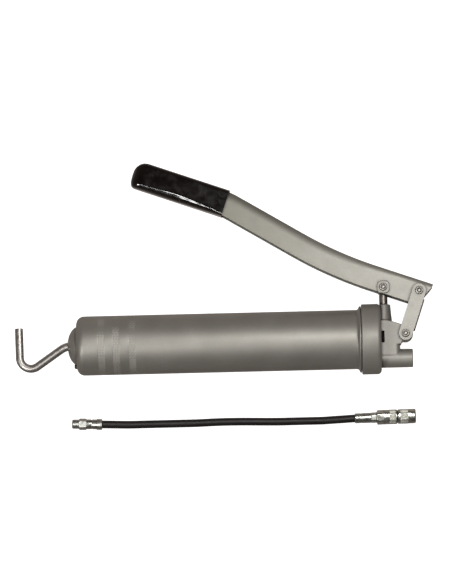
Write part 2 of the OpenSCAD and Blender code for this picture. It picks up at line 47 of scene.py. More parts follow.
# ---------------------------------------------------------------- frames
# The gun's own axes in millimetres: x along the barrel to the outlet, y to the
# lever, z up from the gun's side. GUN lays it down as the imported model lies.
MM = Matrix.Scale(0.001, 4)
MID = (-150.1, 71.2)
GUN = (MM @ Matrix.Translation((-MID[0], -MID[1], 34.1003))
       @ Matrix.Rotation(radians(-1.127054), 4, "Y")
       @ Matrix.Rotation(radians(-6.25), 4, "X"))
FLAT = MM @ Matrix.Translation((-MID[0], -MID[1], 0))
HOSE_REAR = (FLAT @ Matrix.Translation((-270.5, -76.5, 5.4))
             @ Matrix.Rotation(radians(-2), 4, "Z"))
HOSE_FRONT = (FLAT @ Matrix.Translation((-26, -76.5, 7.05))
              @ Matrix.Rotation(radians(1), 4, "Z"))

# ---------------------------------------------------------------- camera
SHOT_W, SHOT_H, CAM_Z = 0.4341, 0.5609, 4.0
cam_data = bpy.data.cameras.new("camera")
cam_data.type = "PERSP"
cam_data.sensor_fit = "AUTO"
cam_data.sensor_width = 36
cam_data.lens = 36 * (CAM_Z - 0.034) / SHOT_H
cam_data.clip_end = 50
cam = bpy.data.objects.new("camera", cam_data)
cam.location = (0.0024, -0.0225, CAM_Z)
cam.rotation_euler = (0, 0, radians(-1.387))
scene.collection.objects.link(cam)
scene.camera = cam

# ---------------------------------------------------------------- mesh tools


def new_object(name, verts, faces, matrix=GUN, sharp=32):
    mesh = bpy.data.meshes.new(name)
    mesh.from_pydata([matrix @ Vector(v) for v in verts], [], faces)
    return from_mesh(name, mesh, sharp)


def from_mesh(name, mesh, sharp=32):
    bm = bmesh.new()
    bm.from_mesh(mesh)
    bmesh.ops.remove_doubles(bm, verts=bm.verts, dist=1e-7)
    bmesh.ops.recalc_face_normals(bm, faces=bm.faces)
    bm.to_mesh(mesh)
    bm.free()
    obj = bpy.data.objects.new(name, mesh)
    scene.collection.objects.link(obj)
    shade(obj, sharp)
    return obj


def shade(obj, sharp=32):
    obj.data.shade_smooth()
    obj.data.set_sharp_from_angle(angle=radians(sharp))


def true_flats(obj, sharp=32):
    """Flat faces keep their own normal; only the eased edges are shaded."""
    shade(obj, sharp)
    m = obj.modifiers.new("flats", "WEIGHTED_NORMAL")
    m.mode, m.weight, m.keep_sharp = "FACE_AREA", 100, True
    settle(obj)
    return obj


def grid(rows, wrap=True, cap0=False, cap1=False):
    """Faces between rows of points; rows of one point are poles."""
    verts, start = [], []
    for r in rows:
        start.append(len(verts))
        verts += r
    faces = []
    for i in range(len(rows) - 1):
        a, b = rows[i], rows[i + 1]
        sa, sb = start[i], start[i + 1]
        n = max(len(a), len(b))
        for j in range(n if wrap else n - 1):
            k = (j + 1) % n
            if len(a) == 1 and len(b) == 1:
                continue
            if len(a) == 1:
                faces.append((sa, sb + j, sb + k))
            elif len(b) == 1:
                faces.append((sa + j, sb, sa + k))
            else:
                faces.append((sa + j, sb + j, sb + k, sa + k))
    if cap0:
        faces.append(tuple(start[0] + j for j in range(len(rows[0]))))
    if cap1:
        faces.append(tuple(start[-1] + j
                           for j in reversed(range(len(rows[-1])))))
    return verts, faces


def rounded(pts, n=5, closed=False):
    """Corners of a path given as (u, v, radius) drawn as arcs."""
    out, m = [], len(pts)
    for i, p in enumerate(pts):
        r = p[2] if len(p) > 2 else 0
        if r <= 0 or (not closed and i in (0, m - 1)):
            out.append((p[0], p[1]))
            continue
        q = Vector(p[:2])
        a = Vector(pts[i - 1][:2]) - q
        b = Vector(pts[(i + 1) % m][:2]) - q
        la, lb = a.length, b.length
        a.normalize()
        b.normalize()
        half = math.acos(max(-1, min(1, a.dot(b)))) / 2
        if half > pi / 2 - 0.02:
            out.append((p[0], p[1]))
            continue
        back = min(r / math.tan(half), 0.49 * la, 0.49 * lb)
        r = back * math.tan(half)
        c = q + (a + b).normalized() * (r / sin(half))
        s = q + a * back - c
        e = q + b * back - c
        t0, t1 = atan2(s.y, s.x), atan2(e.y, e.x)
        dt = (t1 - t0 + pi) % (2 * pi) - pi
        for k in range(n + 1):
            t = t0 + dt * k / n
            out.append((c.x + r * cos(t), c.y + r * sin(t)))
    return out


def lathe_rows(profile, seg):
    rows = []
    for x, r in profile:
        if r < 1e-6:
            rows.append([(x, 0, 0)])
        else:
            rows.append([(x, r * cos(2 * pi * j / seg),
                          r * sin(2 * pi * j / seg)) for j in range(seg)])
    return rows


def lathe(name, profile, matrix=GUN, seg=96, sharp=32, loop=False, at=(0, 0, 0),
          axis="x"):
    """A turned piece about x (or y, or z) through a point; profile is (x, r)."""
    rows = lathe_rows(profile, seg)
    if loop:
        rows.append(rows[0])
    verts, faces = grid(rows)
    turned = {"x": lambda v: (v[0], v[1], v[2]),
              "y": lambda v: (v[2], v[0], v[1]),
              "z": lambda v: (v[1], v[2], v[0])}[axis]
    verts = [tuple(a + b for a, b in zip(turned(v), at)) for v in verts]
    return new_object(name, verts, faces, matrix, sharp)


def prism_mesh(outline, z0, z1):
    n = len(outline)
    verts = [(x, y, z0) for x, y in outline] + [(x, y, z1) for x, y in outline]
    faces = [tuple(range(n)), tuple(range(2 * n - 1, n - 1, -1))]
    faces += [(i, i + n, (i + 1) % n + n, (i + 1) % n) for i in range(n)]
    return verts, faces


def join(parts):
    """(verts, faces) lists joined into one."""
    verts, faces = [], []
    for v, f in parts:
        k = len(verts)
        verts += v
        faces += [tuple(i + k for i in face) for face in f]
    return verts, faces


def settle(obj):
    """Modifiers applied to the mesh."""
    dg = bpy.context.evaluated_depsgraph_get()
    mesh = bpy.data.meshes.new_from_object(obj.evaluated_get(dg))
    obj.modifiers.clear()
    obj.data = mesh
    mesh.name = obj.name
    return obj


def bevel(obj, width, segments=2, angle=30):
    m = obj.modifiers.new("edge", "BEVEL")
    m.width, m.segments = width * 0.001, segments
    m.limit_method, m.angle_limit = "ANGLE", radians(angle)
    m.use_clamp_overlap = True
    m.harden_normals = False
    m.miter_outer = "MITER_ARC"
    settle(obj)
    return obj


def cut(obj, *cutters, how="DIFFERENCE"):
    for c in cutters:
        m = obj.modifiers.new("cut", "BOOLEAN")
        m.operation, m.object, m.solver = how, c, "EXACT"
        settle(obj)
    for c in cutters:
        bpy.data.objects.remove(c)
    return obj


def refined(name, node, width, segments=2, sharp=32):
    """A node's own solid with its facets merged and its edges eased."""
    mesh = frame["nodes"][node].data.copy()
    bm = bmesh.new()
    bm.from_mesh(mesh)
    bmesh.ops.remove_doubles(bm, verts=bm.verts, dist=2e-6)
    bmesh.ops.dissolve_limit(bm, angle_limit=radians(0.6), verts=bm.verts,
                             edges=bm.edges)
    bm.to_mesh(mesh)
    bm.free()
    mesh.materials.clear()
    obj = bpy.data.objects.new(name, mesh)
    scene.collection.objects.link(obj)
    if width:
        bevel(obj, width, segments)
    return true_flats(obj, sharp)


def smoothstep(a, b, x):
    t = max(0.0, min(1.0, (x - a) / (b - a)))
    return t * t * (3 - 2 * t)


def mix(a, b, t):
    return a + (b - a) * t


def tube(name, path, radii, seg, matrix, up=Vector((0, 0, 1)), sharp=32):
    """A round bar along a path that lies in a plane square to up."""
    rows, n = [], len(path)
    for i, p in enumerate(path):
        p = Vector(p)
        t = (Vector(path[min(i + 1, n - 1)]) - Vector(path[max(i - 1, 0)]))
        t.normalize()
        side = up.cross(t)
        r = radii[i]
        rows.append([tuple(p + side * (r * cos(2 * pi * j / seg))
                           + up * (r * sin(2 * pi * j / seg)))
                     for j in range(seg)])
    verts, faces = grid(rows, cap0=True, cap1=True)
    return new_object(name, verts, faces, matrix, sharp)


# ---------------------------------------------------------------- materials


class Paint:
    """A procedural material, drawn in object space in millimetres."""

    def __init__(self, name, **fixed):
        self.mat = bpy.data.materials.new(name)
        self.mat.use_nodes = True
        self.t = self.mat.node_tree
        self.bsdf = self.t.nodes["Principled BSDF"]
        self.coord = self.t.nodes.new("ShaderNodeTexCoord").outputs["Object"]
        self.height = None
        for key, value in fixed.items():
            key = key.replace("_", " ")
            self.bsdf.inputs[key].default_value = value

    def node(self, kind, **values):
        n = self.t.nodes.new("ShaderNode" + kind)
        for k, v in values.items():
            if hasattr(n, k):
                setattr(n, k, v)
            else:
                n.inputs[k.replace("_", " ")].default_value = v
        return n

    def link(self, a, b):
        self.t.links.new(a, b)

    def space(self, stretch=(1, 1, 1), turn=(0, 0, 0)):
        """Coordinates in millimetres, stretched along each axis."""
        m = self.node("Mapping")
        m.inputs["Scale"].default_value = [1000 * s for s in stretch]
        m.inputs["Rotation"].default_value = [radians(a) for a in turn]
        self.link(self.coord, m.inputs["Vector"])
        return m.outputs["Vector"]

    def noise(self, size, detail=3.0, rough=0.55, stretch=(1, 1, 1),
              turn=(0, 0, 0), distortion=0.0):
        """Noise with features about size millimetres across."""
        n = self.node("TexNoise", Scale=1.0 / size, Detail=detail,
                      Roughness=rough, Distortion=distortion)
        self.link(self.space(stretch, turn), n.inputs["Vector"])
        return n.outputs["Fac"]

    def cells(self, size, stretch=(1, 1, 1)):
        n = self.node("TexVoronoi", Scale=1.0 / size)
        self.link(self.space(stretch), n.inputs["Vector"])
        return n.outputs["Color"]

    def span(self, value, low, high, a, b):
        """value mapped from low..high to a..b, held at the ends."""
        m = self.node("MapRange")
        m.clamp = True
        for k, v in (("From Min", low), ("From Max", high), ("To Min", a),
                     ("To Max", b)):
            m.inputs[k].default_value = v
        self.link(value, m.inputs["Value"])
        return m.outputs["Result"]

    def math(self, how, a, b):
        m = self.node("Math")
        m.operation = how
        for i, v in enumerate((a, b)):
            if isinstance(v, (int, float)):
                m.inputs[i].default_value = v
            else:
                self.link(v, m.inputs[i])
        return m.outputs[0]

    def colours(self, value, *stops):
        """value (0..1) through colours at given places."""
        ramp = self.node("ValToRGB")
        e = ramp.color_ramp.elements
        while len(e) < len(stops):
            e.new(0.5)
        for item, (at, c) in zip(e, stops):
            item.position = at
            item.color = (*c, 1)
        self.link(value, ramp.inputs["Fac"])
        return ramp.outputs["Color"]

    def blend(self, fac, a, b, how="MIX"):
        m = self.node("Mix")
        m.data_type = "RGBA"
        m.blend_type = how
        if isinstance(fac, (int, float)):
            m.inputs[0].default_value = fac
        else:
            self.link(fac, m.inputs[0])
        for i, v in ((6, a), (7, b)):
            if isinstance(v, tuple):
                m.inputs[i].default_value = (*v, 1)
            else:
                self.link(v, m.inputs[i])
        return m.outputs[2]

    def bump(self, value, depth, strength=1.0):
        """Relief of the given depth in millimetres, added to the last one."""
        b = self.node("Bump")
        b.inputs["Strength"].default_value = strength
        b.inputs["Distance"].default_value = depth * 0.001
        self.link(value, b.inputs["Height"])
        if self.height is not None:
            self.link(self.height, b.inputs["Normal"])
        self.height = b.outputs["Normal"]

    def done(self, colour=None, rough=None):
        if colour is not None:
            self.link(colour, self.bsdf.inputs["Base Color"])
        if rough is not None:
            self.link(rough, self.bsdf.inputs["Roughness"])
        if self.height is not None:
            self.link(self.height, self.bsdf.inputs["Normal"])
        return self.mat


def grey_paint(name, dark, mid, light, rough=0.62, orange=0.012, shade_to_grip=False):
    """Satin metallic paint: fine flake, faint clouds, slight orange peel,
    painted shade in the nooks and, when asked, painted shade towards the grip."""
    p = Paint(name, Metallic=0.72, Coat_Weight=0.12, Coat_Roughness=0.3,
              Specular_IOR_Level=0.5)
    clouds = p.noise(26, 3, 0.5)
    flake = p.noise(0.55, 2, 0.7)
    fleck = p.cells(0.42)
    c = p.colours(clouds, (0.30, dark), (0.52, mid), (0.72, light))
    c = p.blend(p.span(flake, 0.35, 0.65, 0.0, 1.0),
                c, p.blend(0.5, c, light), "MIX")
    c = p.blend(0.10, c, fleck, "SOFT_LIGHT")
    # painted shade: darker, greener paint towards the grip end, where less lamp
    # light falls
    if shade_to_grip:
        along = p.node("SeparateXYZ")
        p.link(p.coord, along.inputs[0])
        c = p.blend(p.span(along.outputs["X"], 0.0, 0.135, 0.40, 0.0), c,
                    (0.078, 0.077, 0.046))
    # painted shade: ambient occlusion darkens the paint in nooks and creases,
    # where shade falls
    painted_shade_ao = p.node("AmbientOcclusion")
    painted_shade_ao.samples, painted_shade_ao.inputs["Distance"].default_value = 12, 0.0030
    c = p.blend(p.span(painted_shade_ao.outputs["AO"], 0.5, 0.985, 0.9, 0.0), c,
                (0.035, 0.030, 0.026))
    r = p.math("ADD", p.span(p.noise(9, 4, 0.6), 0.3, 0.7, rough - 0.015,
                             rough + 0.02),
               p.span(flake, 0.3, 0.7, -0.05, 0.05))
    p.bump(p.noise(1.5, 2, 0.5), orange)
    p.bump(flake, 0.006)
    return p.done(c, r)


def bright_metal(name, dark, mid, light, rough=0.22, stretch=(1, 1, 1),
                 line=0.35, depth=0.004, painted_shade_width=0.0):
    """Drawn, turned or plated steel: fine lines one way, faint stains and,
    if wanted, painted shade in nooks of the given width in millimetres."""
    p = Paint(name, Metallic=1.0, Specular_IOR_Level=0.5)
    lines = p.noise(line, 3, 0.65, stretch)
    stains = p.noise(5, 4, 0.6)
    c = p.colours(stains, (0.28, dark), (0.5, mid), (0.75, light))
    c = p.blend(p.span(lines, 0.3, 0.7, 0.0, 0.35), c, dark)
    # painted shade: ambient occlusion darkens the metal in nooks, where shade
    # falls
    if painted_shade_width:
        painted_shade_ao = p.node("AmbientOcclusion")
        painted_shade_ao.samples = 12
        painted_shade_ao.inputs["Distance"].default_value = painted_shade_width * 0.001
        c = p.blend(p.span(painted_shade_ao.outputs["AO"], 0.45, 0.97, 0.95, 0.0), c,
                    (0.02, 0.018, 0.015))
    r = p.math("ADD", p.span(stains, 0.3, 0.7, rough - 0.04, rough + 0.08),
               p.span(lines, 0.3, 0.7, -0.04, 0.06))
    p.bump(lines, depth)
    p.bump(p.noise(2.2, 2, 0.5), depth * 1.2)
    return p.done(c, r)


def dull_rubber(name, dark, light, rough=0.5, grain=0.25, depth=0.01,
                spec=0.4, size=8):
    p = Paint(name, Specular_IOR_Level=spec)
    dust = p.noise(size, 4, 0.62)
    fine = p.noise(grain, 2, 0.6)
    c = p.colours(dust, (0.35, dark), (0.7, light))
    r = p.span(dust, 0.3, 0.7, rough - 0.06, rough + 0.08)
    p.bump(fine, depth)
    return p.done(c, r)


M = {}
M["body_paint"] = grey_paint("body_paint", (0.247, 0.236, 0.21),
                             (0.271, 0.26, 0.232), (0.30, 0.288, 0.259),
                             rough=0.53)
M["head_paint"] = grey_paint("head_paint", (0.262, 0.251, 0.224),
                             (0.288, 0.277, 0.247), (0.32, 0.308, 0.277),
                             rough=0.62, orange=0.02)
M["lever_paint"] = grey_paint("lever_paint", (0.265, 0.257, 0.226),
                              (0.28, 0.271, 0.24), (0.295, 0.286, 0.254),
                              rough=0.56, shade_to_grip=True)
M["rivet_steel"] = bright_metal("rivet_steel", (0.22, 0.208, 0.18),
                                (0.34, 0.326, 0.296), (0.42, 0.406, 0.37),
                                rough=0.46, depth=0.002, painted_shade_width=1.3)
M["ground_steel"] = bright_metal("ground_steel", (0.19, 0.175, 0.155),
                                 (0.23, 0.212, 0.19), (0.28, 0.262, 0.24),
                                 rough=0.44, stretch=(1, 6, 1), depth=0.0006,
                                 painted_shade_width=3.0)
M["rod_steel"] = bright_metal("rod_steel", (0.36, 0.34, 0.316),
                              (0.41, 0.39, 0.366), (0.45, 0.43, 0.406),
                              rough=0.4, line=1.6, depth=0.0)
M["spring_steel"] = bright_metal("spring_steel", (0.16, 0.15, 0.14),
                                 (0.25, 0.24, 0.22), (0.34, 0.33, 0.31),
                                 rough=0.35)
M["zinc_plate"] = bright_metal("zinc_plate", (0.30, 0.305, 0.262),
                               (0.47, 0.478, 0.44), (0.59, 0.60, 0.57),
                               rough=0.3, stretch=(0.2, 1, 1), line=0.6,
                               depth=0.0004, painted_shade_width=1.2)
M["zinc_knurl"] = bright_metal("zinc_knurl", (0.52, 0.52, 0.45),
                               (0.66, 0.66, 0.59), (0.76, 0.76, 0.70),
                               rough=0.55, depth=0.001)
# painted highlight: lighter paint on the grip bands for the light the teeth
# catch
M["band_highlight_paint"] = grey_paint("band_highlight_paint", (0.275, 0.264, 0.234),
                             (0.325, 0.312, 0.28), (0.40, 0.386, 0.35),
                             rough=0.62, orange=0.03)
M["jaw_steel"] = bright_metal("jaw_steel", (0.2, 0.195, 0.185),
                              (0.3, 0.295, 0.28), (0.42, 0.41, 0.39),
                              rough=0.3)
# painted shade: a near-black material for the inside of the head's relief
# pockets
M["pocket_painted_shade"] = dull_rubber("pocket_painted_shade", (0.004, 0.0035, 0.003),
                         (0.012, 0.010, 0.009), rough=0.8, spec=0.1, size=2)
M["seal_rubber"] = dull_rubber("seal_rubber", (0.012, 0.011, 0.011),
                               (0.03, 0.028, 0.027))


def vinyl():
    p = Paint("grip_pvc", Specular_IOR_Level=0.5, Coat_Weight=0.6,
              Coat_Roughness=0.04, IOR=1.5)
    # faint patches: the black a little lighter and rougher in places
    mottle = p.noise(11, 4, 0.6, (1, 1, 1), (0, 0, 20), 0.6)
    c = p.colours(mottle, (0.35, (0.0036, 0.0021, 0.0017)),
                  (0.75, (0.0066, 0.0044, 0.0037)))
    r = p.span(mottle, 0.35, 0.7, 0.10, 0.2)
    p.bump(p.noise(14, 2, 0.5), 0.016)
    return p.done(c, r)


def hose_cover():
    """Extruded cover: faint lengthwise die lines and cloth-wrap ribs."""
    p = Paint("hose_rubber", Specular_IOR_Level=0.32)
    dust = p.noise(9, 4, 0.6, (0.5, 1, 1))
    wrap = p.node("TexWave", Scale=0.42, Distortion=0.6, Detail=1.0)
    wrap.wave_type, wrap.bands_direction = "BANDS", "DIAGONAL"
    p.link(p.space((1, 0.55, 0.55)), wrap.inputs["Vector"])
    die = p.noise(0.5, 2, 0.6, (0.04, 1, 1))
    c = p.colours(dust, (0.3, (0.0065, 0.0045, 0.0043)),
                  (0.72, (0.013, 0.0098, 0.0096)))
    r = p.math("ADD", p.span(dust, 0.3, 0.7, 0.38, 0.5),
               p.span(die, 0.3, 0.7, -0.03, 0.04))
    p.bump(wrap.outputs["Fac"], 0.03)
    p.bump(die, 0.012)
    return p.done(c, r)


M["grip_pvc"] = vinyl()
M["hose_rubber"] = hose_cover()


def finish_piece(obj, body, slot, *nodes):
    obj.data.materials.clear()
    obj.data.materials.append(M[slot])
    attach(obj, body)
    if nodes:
        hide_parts(*nodes)
    return obj


# Every CAD node takes its slot's material; those replaced below are hidden.
for m in frame["record"]["subparts"]:
    data = frame["nodes"][m["node"]].data
    data.materials.clear()
    data.materials.append(M[m["material_slot"]])

# ---------------------------------------------------------------- the hose
HOSE = [(-270.5, -76.5, 5.4), (-258, -77, 5), (-244, -77.5, 4.3),
        (-230, -77.5, 3.9), (-215, -77.5, 3.9), (-200, -77.5, 3.9),
        (-180, -77.5, 3.9), (-160, -77, 3.9), (-140, -77, 3.9),
        (-120, -77.5, 3.9), (-100, -78, 3.9), (-85, -78, 3.9), (-70, -78, 4),
        (-58, -78, 4.6), (-47, -77.5, 5.6), (-36, -77, 6.6),
        (-26, -76.5, 7.05)]
HOSE_D = 7.6


def smooth_path(points, per=4):
    """Catmull-Rom curve through points."""
    p = [Vector(v) for v in points]
    p = [2 * p[0] - p[1]] + p + [2 * p[-1] - p[-2]]
    out = []
    for i in range(1, len(p) - 2):
        for k in range(per):
            t = k / per
            a, b, c, d = p[i - 1:i + 3]
            out.append(0.5 * ((2 * b) + (c - a) * t
                              + (2 * a - 5 * b + 4 * c - d) * t * t
                              + (3 * b - a - 3 * c + d) * t ** 3))
    out.append(p[-2])
    return out


hose_line = [FLAT @ v for v in smooth_path(HOSE)]


def make_hose():
    rows, n, seg = [], len(hose_line), 48
    for i, p in enumerate(hose_line):
        t = hose_line[min(i + 1, n - 1)] - hose_line[max(i - 1, 0)]
        t.normalize()
        side = Vector((0, 0, 1)).cross(t).normalized()
        up = t.cross(side)
        r = HOSE_D / 2 * 0.001
        rows.append([tuple(p + side * (r * cos(2 * pi * j / seg))
                           + up * (r * sin(2 * pi * j / seg)))
                     for j in range(seg)])
    verts, faces = grid(rows, cap0=True, cap1=True)
    return new_object("hose_cover", verts, faces, Matrix.Identity(4))


hose = finish_piece(make_hose(), "hose", "hose_rubber", "hose")

for node, width in (("hose_nipple", 0.16), ("hose_rear_ferrule", 0.0),
                    ("hose_front_ferrule", 0.0), ("hose_front_nipple", 0.16),
                    ("coupler_body", 0.14), ("coupler_sleeve", 0.14)):
    piece = refined(node + "_plated", node, width)
    finish_piece(piece, "hose", "zinc_plate", node)


def knurled_ring(name, x0, x1, r, teeth=56):
    """A band of straight teeth with chamfered ends, rolled into the coupler."""
    seg = teeth * 6
    rows = []
    for x, q in ((x0, r - 0.22), (x0 + 0.28, r), (x0 + 1.2, r), (x1 - 1.2, r),
                 (x1 - 0.28, r), (x1, r - 0.22)):
        rows.append([(x, (q - 0.12 + 0.12 * cos(teeth * 2 * pi * j / seg))
                      * cos(2 * pi * j / seg),
                      (q - 0.12 + 0.12 * cos(teeth * 2 * pi * j / seg))
                      * sin(2 * pi * j / seg)) for j in range(seg)])
    verts, faces = grid(rows)
    return new_object(name, verts, faces, HOSE_FRONT, 50)


for name, x0, x1 in (("coupler_grip_band", 33.0, 39.6),
                     ("sleeve_grip_band", 43.6, 51.8)):
    band = finish_piece(knurled_ring(name, x0, x1, 7.13), "hose",
                        "zinc_plate")
    band.data.materials[0] = M["zinc_knurl"]
jaws = finish_piece(refined("coupler_jaws_hard", "coupler_jaws", 0.0),
                    "coupler_jaws", "jaw_steel", "coupler_jaws")

# ---------------------------------------------------------------- barrel
BARREL_R, RIM_R, RIM_W = 28.5, 33.8, 18.6
FLAT_X, DOME_X = -292.4, -279.7
BANDS = (-238.3, -253.7, -268.0)


def band_depth(x, theta):
    """Depth of the grip teeth: short axial grooves, unevenly struck."""
    for b, centre in enumerate(BANDS):
        d = abs(x - centre)
        if d > 3.7:
            continue
        window = 1 - smoothstep(3.0, 3.6, d)
        turn = theta / (2 * pi)
        tooth = 0.5 + 0.5 * cos(2 * pi * (turn * 120 + 0.3 * b))
        struck = 0.5 + 0.5 * sin(turn * 2 * pi * 3 + 1.7 * b + 0.6) \
            * cos(turn * 2 * pi * 5 + 2.1 * b)
        row = 1.0 if b == 0 else 0.55 + 0.45 * cos(2 * pi * d / 2.4)
        return window * (0.03 + mix(0.08, 0.24, struck) * tooth * row)
    return 0.0


def dome_rise(r):
    """Height of the pressed dome over the flat end at radius r."""
    return 8.8 * (1 - (r / 18.3) ** 2.2) ** 0.625


def make_barrel():
    outer = []          # (x, r, thread)
    for i in range(52):
        x = -6.9 - i * 0.2352
        outer.append((x, 28.95, 1))
    outer = [(-6.55, 28.1, 0)] + outer + [(-18.95, 28.5, 0)]
    outer += [(x, r, 0) for x, r in rounded(
        [(-18.95, 28.5), (-18.95, 31.9, 0.4), (-20.5, 31.9, 0.8),
         (-21.3, 29.9, 0.9), (-22.4, 28.5, 1.6), (-27, 28.5)], 5)]
    for c in BANDS:
        outer += [(c + 3.8 - 7.6 * k / 19, 28.5, 0) for k in range(20)]
    c = (BARREL_R - 7.4, -285.0)
    outer += [(c[1] - 7.4 * sin(a), c[0] + 7.4 * cos(a), 0)
              for a in [radians(90) * k / 14 for k in range(15)]]
    outer += [(x, r, 0) for x, r in rounded(
        [(FLAT_X, 21.1), (FLAT_X, 18.5, 0.5),
         (FLAT_X - dome_rise(17.9), 17.9)], 4)][1:]
    outer += [(FLAT_X - dome_rise(r), r, 0)
              for r in (17.5, 17, 16.4, 15.6, 14.6, 13.4, 12, 10.2, 8.4, 6.6,
                        5.2)]
    outer += [(-300.7, 4.75, 0), (-300.3, 4.6, 0)]
    inner = [(DOME_X - sqrt(20.4 ** 2 - r * r), r, 0)
             for r in (4.6, 7, 9.5, 12, 14.5)]
    inner += [(-291.2, 17.6, 0)]
    inner += [(c[1] - 6.2 * sin(a), c[0] + 6.2 * cos(a), 0)
              for a in [radians(90) * (10 - k) / 10 for k in range(11)]]
    inner += [(-7.2, 27.3, 0), (-6.55, 27.6, 0)]
    rows, seg = [], 480
    for x, r, thread in outer + inner:
        row = []
        for j in range(seg):
            a = 2 * pi * j / seg
            q = r
            if thread:
                phase = (x / 1.5 + j / seg) % 1.0
                q = r - 0.62 * abs(2 * phase - 1)
            elif abs(r - 28.5) < 1e-6 and x < -200:
                q = r - band_depth(x, a)
            row.append((x, q * cos(a), q * sin(a)))
        rows.append(row)
    rows.append(rows[0])
    verts, faces = grid(rows)
    obj = new_object("barrel_tube", verts, faces, GUN, 40)
    v, f = prism_mesh([(-312, -8), (-294.5, -8), (-294.5, 0.5),
                       (-312, 0.5)], -3.2, 3.2)
    cut(obj, new_object("slot", v, f))
    plug = lathe("vent_hole", [(-294, 0), (-294, 1.8), (-290, 1.8),
                               (-290, 0)], at=(0, -19.6, 0), seg=24)
    cut(obj, plug)
    shade(obj, 40)
    return obj


barrel = finish_piece(make_barrel(), "barrel", "body_paint", "barrel")
# the grip band faces get the lighter paint, a painted highlight, with ragged,
# unevenly struck edges
barrel.data.materials.append(M["band_highlight_paint"])
back = GUN.inverted()
for face in barrel.data.polygons:
    q = back @ face.center
    turn = atan2(q.z, q.y)
    for b, c in enumerate(BANDS):
        struck = sin(turn * 3 + 1.7 * b + 0.6) * cos(turn * 5 + 2.1 * b)
        ragged = 0.35 * sin(turn * 41 + 2.0 * q.x) + 0.3 * sin(turn * 67 + b)
        if hypot(q.y, q.z) > 28.1 and abs(q.x - c) < 3.2 \
                and struck + ragged > -0.25:
            face.material_index = 1

vent = lathe("vent_plug_moulded", rounded(
    [(-294.9, 0), (-294.9, 1.7, 0.4), (-294.3, 2.35, 0.5), (-292.4, 2.5),
     (-292.4, 1.75), (-290.6, 1.75), (-290.6, 2.15, 0.2), (-290.2, 2.1, 0.3),
     (-289.7, 1.0), (-289.7, 0)], 4), seg=40, at=(0, -19.6, 0))
finish_piece(vent, "barrel", "seal_rubber", "vent_plug")

# ---------------------------------------------------------------- head


